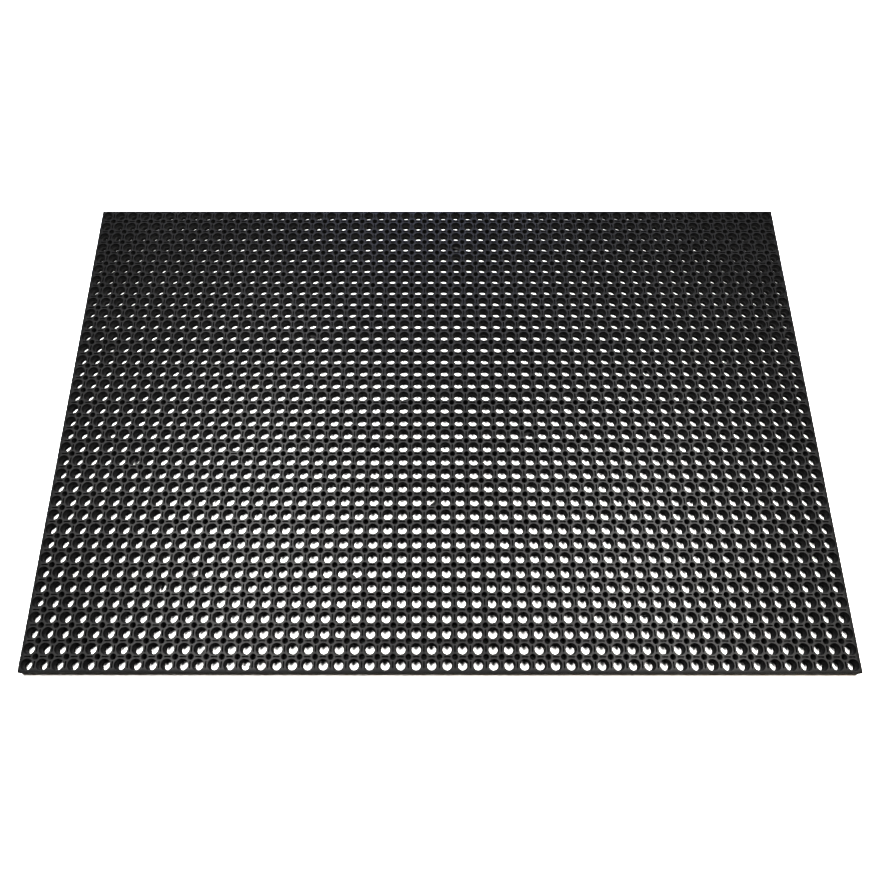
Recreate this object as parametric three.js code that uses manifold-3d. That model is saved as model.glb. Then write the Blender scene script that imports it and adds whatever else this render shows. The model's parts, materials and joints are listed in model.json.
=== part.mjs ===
import * as THREE from "three";
import { mergeVertices } from "three/addons/utils/BufferGeometryUtils.js";
import Module from "manifold-3d";

const wasm = await Module();
wasm.setup();

// A ring rubber mat, lying flat, in millimetres. X runs along its length, Y along its width and Z up.
// The origin is on the floor under the middle of the mat.

// Overall sizes
const matLength = 1500;
const matWidth = 1000;
const matThickness = 22;

// Height at which the two halves of the mould met: the tread is above it, the base below
const partingHeight = 11;

// Pattern of drainage holes: the nearest whole number of cells fills the mat from edge to edge
const nominalPitch = 27.8;
const holeWidth = 18;

// The rubber bends where one strip of columns meets the next
const stripCount = 9;
const runningGap = 0.3;

// How far a cutting block reaches past the faces that it cuts
const cutMargin = 1;

const columns = Math.round(matLength / nominalPitch);
const rows = Math.round(matWidth / nominalPitch);
const columnPitch = matLength / columns;
const rowPitch = matWidth / rows;

const rubber = new THREE.MeshStandardMaterial({ color: 0x2b2b2c, roughness: 0.72, metalness: 0 });

// A block between two corners, as a solid for cutting
function block(low, high) {
  const size = new THREE.Vector3().subVectors(high, low);
  const centre = new THREE.Vector3().addVectors(low, high).multiplyScalar(0.5);
  const box = new THREE.BoxGeometry(size.x, size.y, size.z);
  box.translate(centre.x, centre.y, centre.z);
  box.deleteAttribute("normal");
  box.deleteAttribute("uv");
  const merged = mergeVertices(box);
  return new wasm.Manifold(
    new wasm.Mesh({
      numProp: 3,
      vertProperties: new Float32Array(merged.attributes.position.array),
      triVerts: new Uint32Array(merged.index.array),
    }),
  );
}

// A solid's surface as geometry for a mesh
function geometryOf(solid) {
  const { vertProperties, triVerts } = solid.getMesh();
  const geometry = new THREE.BufferGeometry();
  geometry.setAttribute("position", new THREE.BufferAttribute(vertProperties, 3));
  geometry.setIndex(new THREE.BufferAttribute(triVerts, 1));
  return geometry;
}

// A flat plate from low to high in X, across the whole width, with a slot cut through it for each entry of slots
function slottedPlate(name, low, high, thickness, slots) {
  let solid = block(new THREE.Vector3(low, -matWidth / 2, 0), new THREE.Vector3(high, matWidth / 2, thickness));
  for (const slot of slots) {
    const slotLow = new THREE.Vector3(slot.lowX, slot.lowY, -cutMargin);
    const slotHigh = new THREE.Vector3(slot.highX, slot.highY, thickness + cutMargin);
    solid = solid.subtract(block(slotLow, slotHigh));
  }
  const plate = new THREE.Mesh(geometryOf(solid), rubber);
  plate.name = name;
  return plate;
}

// Where column or row number i of the pattern has its centre
function columnCentre(i) {
  return (i + 0.5) * columnPitch - matLength / 2;
}

function rowCentre(i) {
  return (i + 0.5) * rowPitch - matWidth / 2;
}

// The columns that strip number k holds, and its two edges, each half a gap short of its neighbour
function stripSpan(k) {
  const first = Math.round((columns * k) / stripCount);
  const next = Math.round((columns * (k + 1)) / stripCount);
  const lowGap = k === 0 ? 0 : runningGap / 2;
  const highGap = k === stripCount - 1 ? 0 : runningGap / 2;
  return {
    first,
    last: next - 1,
    low: first * columnPitch - matLength / 2 + lowGap,
    high: next * columnPitch - matLength / 2 - highGap,
  };
}

// Tread: one slot along X over each row of holes, which leaves the ribs between the rows
function tread(k) {
  const { first, last, low, high } = stripSpan(k);
  const slots = [];
  for (let row = 0; row < rows; row++) {
    slots.push({
      lowX: columnCentre(first) - holeWidth / 2,
      highX: columnCentre(last) + holeWidth / 2,
      lowY: rowCentre(row) - holeWidth / 2,
      highY: rowCentre(row) + holeWidth / 2,
    });
  }
  const underside = partingHeight + runningGap / 2;
  const plate = slottedPlate(`tread_${k + 1}`, low, high, matThickness - underside, slots);
  plate.position.z = underside;
  return plate;
}

// Base: one slot along Y under each column of holes, so each crossing with a slot of the tread is a through hole
function base(k) {
  const { first, last, low, high } = stripSpan(k);
  const slots = [];
  for (let column = first; column <= last; column++) {
    slots.push({
      lowX: columnCentre(column) - holeWidth / 2,
      highX: columnCentre(column) + holeWidth / 2,
      lowY: rowCentre(0) - holeWidth / 2,
      highY: rowCentre(rows - 1) + holeWidth / 2,
    });
  }
  return slottedPlate(`base_${k + 1}`, low, high, partingHeight - runningGap / 2, slots);
}

const mat = new THREE.Group();
for (let k = 0; k < stripCount; k++) {
  const strip = new THREE.Group();
  strip.add(base(k));
  strip.add(tread(k));
  mat.add(strip);
}

export default mat;
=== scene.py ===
import json
import math
import random

import bmesh
import bpy
from mathutils import Matrix, Vector

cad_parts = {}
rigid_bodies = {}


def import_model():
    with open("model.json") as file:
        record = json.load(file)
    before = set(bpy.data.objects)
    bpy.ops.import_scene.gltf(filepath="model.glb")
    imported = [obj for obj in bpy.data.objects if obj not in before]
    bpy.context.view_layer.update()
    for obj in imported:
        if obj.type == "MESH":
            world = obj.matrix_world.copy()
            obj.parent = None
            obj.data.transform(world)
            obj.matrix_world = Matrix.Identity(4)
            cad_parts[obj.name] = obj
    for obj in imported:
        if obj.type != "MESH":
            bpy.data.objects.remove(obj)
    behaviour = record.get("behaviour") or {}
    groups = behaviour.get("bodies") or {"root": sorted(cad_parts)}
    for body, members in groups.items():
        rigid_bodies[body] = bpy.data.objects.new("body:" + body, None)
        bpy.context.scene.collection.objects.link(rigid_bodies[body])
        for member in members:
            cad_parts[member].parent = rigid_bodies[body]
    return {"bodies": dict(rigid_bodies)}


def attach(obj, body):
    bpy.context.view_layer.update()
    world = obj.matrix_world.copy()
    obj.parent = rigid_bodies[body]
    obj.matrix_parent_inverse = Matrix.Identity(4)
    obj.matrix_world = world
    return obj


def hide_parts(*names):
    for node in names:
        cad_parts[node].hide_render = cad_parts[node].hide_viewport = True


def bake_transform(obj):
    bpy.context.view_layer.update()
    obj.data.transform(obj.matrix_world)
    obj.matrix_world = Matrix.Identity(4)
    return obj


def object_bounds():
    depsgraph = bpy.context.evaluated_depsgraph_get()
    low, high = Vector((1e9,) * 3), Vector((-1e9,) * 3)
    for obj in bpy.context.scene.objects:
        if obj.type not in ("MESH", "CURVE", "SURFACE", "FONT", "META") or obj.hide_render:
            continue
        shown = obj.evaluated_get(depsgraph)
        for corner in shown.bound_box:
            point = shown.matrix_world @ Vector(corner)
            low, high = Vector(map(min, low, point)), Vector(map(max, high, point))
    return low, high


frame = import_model()
cadLow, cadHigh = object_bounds()
print("frame loaded")

mm = 0.001
weldDistance = 0.01 * mm  # corners closer than this are one corner


def linked(name, bm):
    # puts a finished bmesh in the scene as an object
    mesh = bpy.data.meshes.new(name)
    bm.to_mesh(mesh)
    bm.free()
    made = bpy.data.objects.new(name, mesh)
    bpy.context.scene.collection.objects.link(made)
    return made


def paint(name):
    # a new material, its node tree and its shader
    made = bpy.data.materials.new(name)
    made.use_nodes = True
    return made, made.node_tree, made.node_tree.nodes["Principled BSDF"]


# Camera

camera = {
    "place": (-0.0236, -0.6566, 1.5035),
    "turn": (22.381, 0.098, 0.05),  # degrees about X, Y and Z
    "lens": 32.659,
    "shift": (0.0177, -0.0092),
}


def addCamera():
    data = bpy.data.cameras.new("camera")
    data.lens = camera["lens"]
    data.sensor_width = 36
    data.shift_x, data.shift_y = camera["shift"]
    data.clip_end = 50
    holder = bpy.data.objects.new("camera", data)
    holder.location = camera["place"]
    holder.rotation_euler = [math.radians(angle) for angle in camera["turn"]]
    bpy.context.scene.collection.objects.link(holder)
    bpy.context.scene.camera = holder


addCamera()


# One cell of the pattern, in millimetres: a square with a large hole in its middle and a quarter of a
# small hole at each corner. A profile is (distance from the hole's axis, height above the floor).

cell = {
    "boreProfile": [(10.4, 22), (10.0, 21.5), (9.35, 11.3), (8.2, 10.9), (9.1, 0)],
    "boreSegments": 24,
    "holeProfile": [(5.35, 22), (5.05, 21.6), (4.65, 0), (6.9, 0), (7.1, 8)],
    "holeSegments": 12,
    "slotHalfLength": 6.2,
    "slotHalfWidth": 1.2,
    "slotRound": 0.7,  # how blunt a slot's end is
    "slotDepth": 6,
    "barHalfWidth": 5,  # of the bars under the slots, seen from below
    "ringRadius": 11.5,  # of the wall round each large hole, seen from below
    "ringSteps": 3,
    "pocketRoof": 8,
    "seamHeight": 11,  # the mould's parting line round the outer edge
    "seamStep": 0.35,
    "seamRidge": 0.25,
}
rows = 36
columnsPerStrip = 6
stripCount = len(frame["bodies"])
pitch = (cadHigh.y - cadLow.y) / rows
half = pitch / 2
top = cadHigh.z


def quarterSpin(bm, profile, centre, startAngle, segments):
    # a quarter of a turned wall, from startAngle a right angle onwards
    outward = Vector((math.cos(startAngle), math.sin(startAngle), 0))
    line = [bm.verts.new(centre + (outward * r + Vector((0, 0, z))) * mm) for r, z in profile]
    edges = [bm.edges.new(pair) for pair in zip(line, line[1:])]
    bmesh.ops.spin(bm, geom=line + edges, cent=centre, axis=(0, 0, 1), dvec=(0, 0, 0),
                   angle=math.pi / 2, steps=segments // 4, use_merge=False, use_duplicate=False)


def chain(bm, points):
    # an open line of edges through the points
    corners = [bm.verts.new(p) for p in points]
    return [bm.edges.new(pair) for pair in zip(corners, corners[1:])]


def wallFrom(bm, edges, rise):
    # draws a wall up or down from a line of edges, and gives the line at its far side
    made = bmesh.ops.extrude_edge_only(bm, edges=edges)["geom"]
    corners = [g for g in made if isinstance(g, bmesh.types.BMVert)]
    bmesh.ops.translate(bm, verts=corners, vec=(0, 0, rise))
    return [g for g in made if isinstance(g, bmesh.types.BMEdge) and all(v in corners for v in g.verts)]


def fillLevel(bm, height):
    # closes the outline that the open edges draw at one height
    bmesh.ops.remove_doubles(bm, verts=bm.verts, dist=weldDistance)
    outline = [e for e in bm.edges if len(e.link_faces) < 2
               and all(abs(v.co.z - height) < weldDistance for v in e.verts)]
    bmesh.ops.edgeloop_fill(bm, edges=outline)


def facing(onX, along, across, height):
    # a point near the cell's side: along the side, across it from the middle of the cell
    return Vector((across, along, height)) if onX else Vector((along, across, height))


def slotLine(onX, height):
    # half of a slot's outline, from the middle of the cell's side to the slot's end
    length, width = cell["slotHalfLength"] * mm, cell["slotHalfWidth"] * mm
    blunt = cell["slotRound"]
    line = [(0, half - width), (length - width, half - width),
            (length - width * (1 - blunt), half - width * blunt), (length, half)]
    return [facing(onX, along, across, height) for along, across in line]


def pocketLine():
    # the edge of the pocket under a small hole: past both bars and round the large hole's wall
    radius, bar = cell["ringRadius"] * mm, cell["barHalfWidth"] * mm
    first = math.asin(bar / radius)
    steps = cell["ringSteps"]
    arc = [first + (math.pi / 2 - 2 * first) * i / steps for i in range(steps + 1)]
    ring = [Vector((math.cos(a), math.sin(a), 0)) * radius for a in arc]
    return [Vector((half, bar, 0)), *ring, Vector((bar, half, 0))]


def quarterCell(slotX, slotY):
    # the quarter from the large hole's axis to the corner at +X +Y; a side with no slot is the mat's edge
    bm = bmesh.new()
    bore, hole = cell["boreProfile"], cell["holeProfile"]
    quarterSpin(bm, bore, Vector((0, 0, 0)), 0, cell["boreSegments"])
    corner = slotX and slotY

    rim, foot = bore[0][0] * mm, bore[-1][0] * mm
    if corner:
        pocket = pocketLine()
        chain(bm, [Vector((foot, 0, 0)), Vector((half, 0, 0)), pocket[0]])
        chain(bm, [Vector((0, foot, 0)), Vector((0, half, 0)), pocket[-1]])
        roofLine = wallFrom(bm, chain(bm, pocket), cell["pocketRoof"] * mm)
    else:
        chain(bm, [Vector((foot, 0, 0)), Vector((half, 0, 0)), Vector((half, half, 0)),
                   Vector((0, half, 0)), Vector((0, foot, 0))])
    fillLevel(bm, 0)

    if corner:
        quarterSpin(bm, hole, Vector((half, half, 0)), math.pi, cell["holeSegments"])
        roof, tube = cell["pocketRoof"] * mm, half - hole[-1][0] * mm
        for onX in (True, False):
            chain(bm, [facing(onX, cell["barHalfWidth"] * mm, half, roof), facing(onX, tube, half, roof)])
        fillLevel(bm, roof)

    slotFloor = top - cell["slotDepth"] * mm
    reach = half - hole[0][0] * mm if corner else half
    for onX, slot in ((True, slotX), (False, slotY)):
        end = facing(onX, reach, half, top)
        if slot:
            line = slotLine(onX, top)
            chain(bm, [facing(onX, 0, rim, top), line[0]])
            chain(bm, [line[-1], end])
            wallFrom(bm, chain(bm, line), -cell["slotDepth"] * mm)
            chain(bm, [facing(onX, 0, half - cell["slotHalfWidth"] * mm, slotFloor),
                       facing(onX, 0, half, slotFloor),
                       facing(onX, cell["slotHalfLength"] * mm, half, slotFloor)])
        else:
            chain(bm, [facing(onX, 0, rim, top), facing(onX, 0, half, top), end])
            line = chain(bm, [facing(onX, 0, half, top), end])
            for rise in seamLevels():
                line = wallFrom(bm, line, rise)
    fillLevel(bm, top)
    if slotX or slotY:
        fillLevel(bm, slotFloor)
    bmesh.ops.remove_doubles(bm, verts=bm.verts, dist=weldDistance)

    for v in bm.verts:  # the parting line stands a little proud of the mat's edge
        if abs(v.co.z - cell["seamHeight"] * mm) < weldDistance:
            if not slotX and abs(v.co.x - half) < weldDistance:
                v.co.x += cell["seamRidge"] * mm
            if not slotY and abs(v.co.y - half) < weldDistance:
                v.co.y += cell["seamRidge"] * mm
    mesh = bpy.data.meshes.new("quarter")
    bm.to_mesh(mesh)
    bm.free()
    return mesh


def seamLevels():
    # how far each stretch of the outer wall falls, from the top to the floor
    seam, step = cell["seamHeight"] * mm, cell["seamStep"] * mm
    return [seam + step - top, -step, -step, step - seam]


def joined(parts):
    # one mesh from (mesh, matrix) pairs, with meeting corners welded
    bm = bmesh.new()
    for mesh, matrix in parts:
        placed = mesh.copy()
        placed.transform(matrix)
        bm.from_mesh(placed)
        bpy.data.meshes.remove(placed)
    bmesh.ops.remove_doubles(bm, verts=bm.verts, dist=weldDistance)
    mesh = bpy.data.meshes.new("joined")
    bm.to_mesh(mesh)
    bm.free()
    return mesh


def repeated(mesh, count, step):
    # count copies of a mesh in a line, welded where they meet
    holder = bpy.data.objects.new("repeated", mesh)
    bpy.context.scene.collection.objects.link(holder)
    array = holder.modifiers.new("array", "ARRAY")
    array.use_relative_offset = False
    array.use_constant_offset = True
    array.constant_offset_displace = step
    array.count = count
    array.use_merge_vertices = True
    array.merge_threshold = weldDistance
    graph = bpy.context.evaluated_depsgraph_get()
    made = bpy.data.meshes.new_from_object(holder.evaluated_get(graph), depsgraph=graph)
    bpy.data.objects.remove(holder)
    return made


quarters = {(x, y): quarterCell(x, y) for x in (True, False) for y in (True, False)}


def cellMesh(left=False, right=False, front=False, back=False):
    # a whole cell; left, right, front and back say which of its sides are the mat's edge
    parts = []
    for x, atEdgeX in ((1, right), (-1, left)):
        for y, atEdgeY in ((1, back), (-1, front)):
            parts.append((quarters[not atEdgeX, not atEdgeY], Matrix.Diagonal((x, y, 1, 1))))
    return joined(parts)


def columnMesh(left=False, right=False):
    # one column of cells, from the front edge to the back edge, centred on x = 0
    firstY = cadLow.y + half
    middle = repeated(cellMesh(left=left, right=right), rows - 2, (0, pitch, 0))
    return joined([
        (cellMesh(left=left, right=right, front=True), Matrix.Translation((0, firstY, 0))),
        (middle, Matrix.Translation((0, firstY + pitch, 0))),
        (cellMesh(left=left, right=right, back=True), Matrix.Translation((0, cadHigh.y - half, 0))),
    ])


plainColumn = columnMesh()
print("one column made")


def stripMesh(index):
    # the columns of one strip, at their place in the mat, still open at the cuts between strips
    firstX = cadLow.x + (index * columnsPerStrip + 0.5) * pitch
    columns = [(plainColumn, firstX + i * pitch) for i in range(columnsPerStrip)]
    if index == 0:
        columns[0] = (columnMesh(left=True), firstX)
    if index == stripCount - 1:
        columns[-1] = (columnMesh(right=True), columns[-1][1])
    return joined([(mesh, Matrix.Translation((x, 0, 0))) for mesh, x in columns])


flash = {
    "share": 0.14,  # of the large holes hold a ragged sliver of flash
    "depth": (0.8, 2.2),  # how far a sliver reaches into the hole
    "deepShare": 0.1,  # of those reach further
    "deepDepth": (3, 6),
    "ragged": 0.35,
    "raggedCuts": 3,
    "thickness": 0.45,
    "overlap": 0.25,
    "height": 10.2,
    "segments": 16,
    "seed": 7,
}


def skinsMesh(index, rng):
    # all the slivers of one strip
    bm = bmesh.new()
    firstX = cadLow.x + (index * columnsPerStrip + 0.5) * pitch
    for column in range(columnsPerStrip):
        for row in range(rows):
            if rng.random() > flash["share"]:
                continue
            centre = Vector((firstX + column * pitch, cadLow.y + (row + 0.5) * pitch, flash["height"] * mm))
            addSkin(bm, centre, rng)
    bmesh.ops.recalc_face_normals(bm, faces=bm.faces)
    mesh = bpy.data.meshes.new("skins")
    bm.to_mesh(mesh)
    bm.free()
    return mesh


def addSkin(bm, centre, rng):
    # a thin disc cut back to the piece beyond a chord, whose cut edge is then made ragged
    radius = (cell["boreProfile"][3][0] + flash["overlap"]) * mm
    depth = rng.uniform(*flash["deepDepth" if rng.random() < flash["deepShare"] else "depth"]) * mm
    turn = rng.uniform(0, 2 * math.pi)
    normal = Vector((math.cos(turn), math.sin(turn), 0))
    made = bmesh.ops.create_circle(bm, cap_ends=True, radius=radius, segments=flash["segments"],
                                   matrix=Matrix.Translation(centre))
    geom = made["verts"] + list({g for v in made["verts"] for g in (*v.link_edges, *v.link_faces)})
    kept = bmesh.ops.bisect_plane(bm, geom=geom, plane_co=centre + normal * (radius - depth),
                                  plane_no=normal, clear_inner=True)
    chord = [g for g in kept["geom_cut"] if isinstance(g, bmesh.types.BMEdge)]
    cuts = bmesh.ops.subdivide_edges(bm, edges=chord, cuts=flash["raggedCuts"])["geom_inner"]
    for v in cuts:
        if isinstance(v, bmesh.types.BMVert):
            v.co += normal * rng.uniform(-1, 1) * flash["ragged"] * mm
    disc = list({f for e in chord for f in e.link_faces})
    lifted = bmesh.ops.extrude_face_region(bm, geom=disc, use_keep_orig=True)["geom"]
    corners = [g for g in lifted if isinstance(g, bmesh.types.BMVert)]
    bmesh.ops.translate(bm, verts=corners, vec=(0, 0, flash["thickness"] * mm))


outerEdge = {
    "rounding": 0.9,
    "segments": 2,
    "sharpAngle": 25,  # degrees; edges that turn more than this stay crisp
}


def roundEdge(bm):
    # rounds the mat's upper outer edge
    def outside(v):
        return (abs(v.co.x - cadLow.x) < weldDistance or abs(v.co.x - cadHigh.x) < weldDistance
                or abs(v.co.y - cadLow.y) < weldDistance or abs(v.co.y - cadHigh.y) < weldDistance)

    rim = [e for e in bm.edges if len(e.link_faces) == 2
           and all(abs(v.co.z - top) < weldDistance and outside(v) for v in e.verts)
           and min(abs(f.normal.z) for f in e.link_faces) < 0.5]
    bmesh.ops.bevel(bm, geom=rim, offset=outerEdge["rounding"] * mm, offset_type="OFFSET", affect="EDGES",
                    segments=outerEdge["segments"], profile=0.5, material=-1, clamp_overlap=False)


def strip(index, rng):
    bm = bmesh.new()
    bm.from_mesh(stripMesh(index))
    openEdges = [e for e in bm.edges if e.is_boundary]
    bmesh.ops.holes_fill(bm, edges=openEdges, sides=0)
    bmesh.ops.recalc_face_normals(bm, faces=bm.faces)
    roundEdge(bm)
    bm.from_mesh(skinsMesh(index, rng))
    piece = linked("mat_strip_%d" % (index + 1), bm)
    piece.data.shade_smooth()
    piece.data.set_sharp_from_angle(angle=math.radians(outerEdge["sharpAngle"]))
    return piece


rng = random.Random(flash["seed"])
strips = [strip(index, rng) for index in range(stripCount)]
print("strips made", sum(len(p.data.polygons) for p in strips), "faces")


# Rubber: charcoal, glossier and with sparse dust on the tread, duller on the walls. The tones of the walls
# are given so that they keep the holes dark over a floor that is lit far past white.

rubber = {
    "paintedShadeDeepColour": (0.001, 0.001, 0.001),  # painted shade: the lower walls, darkened towards the floor
    "wallColour": (0.014, 0.014, 0.0143),  # the upper walls
    "paintedShadeLipColour": (0.0004, 0.0004, 0.0004),  # painted shade: a dark band just under the rim
    "paintedShadeFadeFrom": 0.004,  # heights where one tone of the wall ends and the next is full; the lower tone and the band under the rim are painted shade
    "paintedShadeFadeTo": 0.013,
    "paintedLipShadeStart": 0.0175,
    "paintedLipShadeFull": 0.0198,
    "treadColour": (0.0048, 0.0048, 0.0050),
    "dustColour": (0.035, 0.034, 0.032),
    "treadStart": 0.0214,  # height where the tread's tone begins, and where it is full
    "treadFull": 0.02195,
    "patchScale": 7,  # slow cloudy patches, per metre
    "patchShade": (0.8, 1.2),
    "cellShade": (0.94, 1.06),  # each cell is a little lighter or darker than the next
    "grainScale": 900,
    "dustScale": 420,
    "dustShare": (0.70, 0.80),
    "specular": 0.12,
    "wallRoughness": 0.95,
    "treadRoughness": (0.40, 0.48),
    "bloom": 0.145,  # weight and roughness of a second, softer gloss over the whole mat
    "bloomRoughness": 0.65,
    "poreScale": 2200,
    "poreHeight": 0.00005,
    "poreStrength": 0.5,
    "noiseMiddle": (0.3, 0.7),  # nearly all of a noise lies between these
}


def node(tree, kind, **settings):
    made = tree.nodes.new(kind)
    for name, value in settings.items():
        setattr(made, name, value)
    return made


def spread(tree, source, fromRange, toRange, smooth=False):
    # carries a value from one range to another
    made = node(tree, "ShaderNodeMapRange", interpolation_type="SMOOTHSTEP" if smooth else "LINEAR")
    for name, value in zip(("From Min", "From Max", "To Min", "To Max"), (*fromRange, *toRange)):
        made.inputs[name].default_value = value
    tree.links.new(source, made.inputs["Value"])
    return made.outputs["Result"]


def product(tree, first, second):
    made = node(tree, "ShaderNodeMath", operation="MULTIPLY")
    tree.links.new(first, made.inputs[0])
    tree.links.new(second, made.inputs[1])
    return made.outputs[0]


def blended(tree, share, first, second):
    # a colour between two; each is a colour or a socket
    made = node(tree, "ShaderNodeMix", data_type="RGBA")
    tree.links.new(share, made.inputs["Factor"])
    for socket, value in zip((made.inputs[6], made.inputs[7]), (first, second)):
        if isinstance(value, tuple):
            socket.default_value = (*value, 1)
        else:
            tree.links.new(value, socket)
    return made.outputs[2]


def rubberMaterial():
    material, tree, shader = paint("rubber")
    place = node(tree, "ShaderNodeAttribute", attribute_name="place").outputs["Vector"]
    height = node(tree, "ShaderNodeSeparateXYZ")
    tree.links.new(place, height.inputs[0])

    def above(start, full):
        # none below the first height, all of it above the second
        return spread(tree, height.outputs["Z"], (rubber[start], rubber[full]), (0, 1), smooth=True)

    tread = above("treadStart", "treadFull")

    def noise(scale, detail):
        made = node(tree, "ShaderNodeTexNoise")
        made.inputs["Scale"].default_value = scale
        made.inputs["Detail"].default_value = detail
        tree.links.new(place, made.inputs["Vector"])
        return made.outputs["Fac"]

    patches = spread(tree, noise(rubber["patchScale"], 4), rubber["noiseMiddle"], rubber["patchShade"])
    cellNumber = node(tree, "ShaderNodeVectorMath", operation="SNAP")
    cellNumber.inputs[1].default_value = (pitch, pitch, 1)
    tree.links.new(place, cellNumber.inputs[0])
    cellRandom = node(tree, "ShaderNodeTexWhiteNoise")
    tree.links.new(cellNumber.outputs[0], cellRandom.inputs["Vector"])
    shade = product(tree, patches, spread(tree, cellRandom.outputs["Value"], (0, 1), rubber["cellShade"]))

    # painted shade: the walls darken towards the floor
    wallPaintedDeepShade = blended(tree, above("paintedShadeFadeFrom", "paintedShadeFadeTo"), rubber["paintedShadeDeepColour"], rubber["wallColour"])
    # painted shade: a dark band just under the rim, over the walls' painted shade
    wallPaintedShade = blended(tree, above("paintedLipShadeStart", "paintedLipShadeFull"), wallPaintedDeepShade, rubber["paintedShadeLipColour"])
    base = blended(tree, tread, wallPaintedShade, rubber["treadColour"])
    toned = node(tree, "ShaderNodeVectorMath", operation="SCALE")
    tree.links.new(base, toned.inputs[0])
    tree.links.new(shade, toned.inputs["Scale"])
    dust = spread(tree, noise(rubber["dustScale"], 2), rubber["dustShare"], (0, 1), smooth=True)
    colour = blended(tree, product(tree, dust, tread), toned.outputs[0], rubber["dustColour"])
    tree.links.new(colour, shader.inputs["Base Color"])

    grain = noise(rubber["grainScale"], 3)
    worn = spread(tree, grain, rubber["noiseMiddle"], rubber["treadRoughness"])
    rough = node(tree, "ShaderNodeMix", data_type="FLOAT")
    rough.inputs["A"].default_value = rubber["wallRoughness"]
    tree.links.new(tread, rough.inputs["Factor"])
    tree.links.new(worn, rough.inputs["B"])
    tree.links.new(rough.outputs["Result"], shader.inputs["Roughness"])

    shader.inputs["Specular IOR Level"].default_value = rubber["specular"]
    shader.inputs["Coat Weight"].default_value = rubber["bloom"]
    shader.inputs["Coat Roughness"].default_value = rubber["bloomRoughness"]
    bump = node(tree, "ShaderNodeBump")
    bump.inputs["Strength"].default_value = rubber["poreStrength"]
    bump.inputs["Distance"].default_value = rubber["poreHeight"]
    tree.links.new(noise(rubber["poreScale"], 2), bump.inputs["Height"])
    tree.links.new(bump.outputs["Normal"], shader.inputs["Normal"])
    return material


def rememberPlace(mesh):
    # keeps each point's place in the flat mat, so that the rubber's pattern stays on it as it bends
    places = [c for v in mesh.vertices for c in v.co]
    mesh.attributes.new("place", "FLOAT_VECTOR", "POINT").data.foreach_set("vector", places)


rubberFinish = rubberMaterial()
for piece in strips:
    rememberPlace(piece.data)
    piece.data.materials.clear()
    piece.data.materials.append(rubberFinish)
print("rubber finished")


# The middle strip rides its body, and the other strips stay fixed where they are made

middle = stripCount // 2
for index, piece in enumerate(strips):
    number = index + 1
    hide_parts("tread_%d" % number, "base_%d" % number)
    if index == middle:
        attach(piece, "strip_%d" % number)
        continue
    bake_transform(piece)


# Floor and light

studio = {
    "floorSize": 12,
    "floorColour": (0.85, 0.85, 0.85),
    "floorRoughness": 0.9,
    "floorSpecular": 0.1,
    "backdropRadius": 3.3,
    "backdropSegments": 64,
    "lampHeight": 2.3,
    "world": 0.08,  # strength of the even light from all round
    "gamma": 0.65,
}
lamps = [  # name, x, y, width, length, turn in degrees, watts, colour
    ("left", -0.86, 0.4, 0.4, 1.6, -12, 274, (1.01, 1.0, 0.98)),
    ("right", 1.04, 0.2, 0.4, 1.4, 14, 252, (1.01, 1.0, 0.98)),
    ("back", 0, 2.8, 0.8, 0.4, 0, 80, (0.72, 0.84, 1.45)),
    ("backRight", 0.9, 2.2, 0.6, 0.4, 0, 25, (1.0, 1.0, 1.0)),
    ("frontRight", 1.8, -0.9, 0.5, 0.5, 0, 8, (1.3, 0.9, 0.4)),
]


def addFloor():
    # a plain pale floor, level with the mat's underside
    bm = bmesh.new()
    bmesh.ops.create_grid(bm, x_segments=1, y_segments=1, size=studio["floorSize"] / 2)
    floor = linked("floor", bm)
    floorPaint, _, shader = paint("floor")
    shader.inputs["Base Color"].default_value = (*studio["floorColour"], 1)
    shader.inputs["Roughness"].default_value = studio["floorRoughness"]
    shader.inputs["Specular IOR Level"].default_value = studio["floorSpecular"]
    floor.data.materials.append(floorPaint)


def addBackdrop():
    # a plain white dome round the floor, which is seen but gives and takes no light
    bm = bmesh.new()
    segments = studio["backdropSegments"]
    bmesh.ops.create_uvsphere(bm, u_segments=segments, v_segments=segments // 2,
                              radius=studio["backdropRadius"])
    bmesh.ops.bisect_plane(bm, geom=bm.verts[:] + bm.edges[:] + bm.faces[:], plane_co=(0, 0, 0),
                           plane_no=(0, 0, 1), clear_inner=True)
    bmesh.ops.reverse_faces(bm, faces=bm.faces)
    backdrop = linked("backdrop", bm)
    backdrop.visible_diffuse = False
    backdrop.visible_glossy = False
    backdrop.visible_transmission = False
    backdrop.visible_shadow = False
    backdropPaint, _, shader = paint("backdrop")
    shader.inputs["Base Color"].default_value = (0, 0, 0, 1)
    shader.inputs["Specular IOR Level"].default_value = 0
    shader.inputs["Emission Color"].default_value = (1, 1, 1, 1)
    shader.inputs["Emission Strength"].default_value = 1
    backdrop.data.materials.append(backdropPaint)


def addLamps():
    for name, x, y, width, length, turn, watts, colour in lamps:
        data = bpy.data.lights.new(name, "AREA")
        data.shape = "RECTANGLE"
        data.size = width
        data.size_y = length
        data.energy = watts
        data.color = colour
        lamp = bpy.data.objects.new(name, data)
        lamp.location = (x, y, studio["lampHeight"])
        lamp.rotation_euler.z = math.radians(turn)
        bpy.context.scene.collection.objects.link(lamp)
    world = bpy.data.worlds.new("world")
    world.use_nodes = True
    world.node_tree.nodes["Background"].inputs["Color"].default_value = (1, 1, 1, 1)
    world.node_tree.nodes["Background"].inputs["Strength"].default_value = studio["world"]
    bpy.context.scene.world = world
    bpy.context.scene.view_settings.view_transform = "Standard"
    bpy.context.scene.view_settings.gamma = studio["gamma"]


addFloor()
addBackdrop()
addLamps()
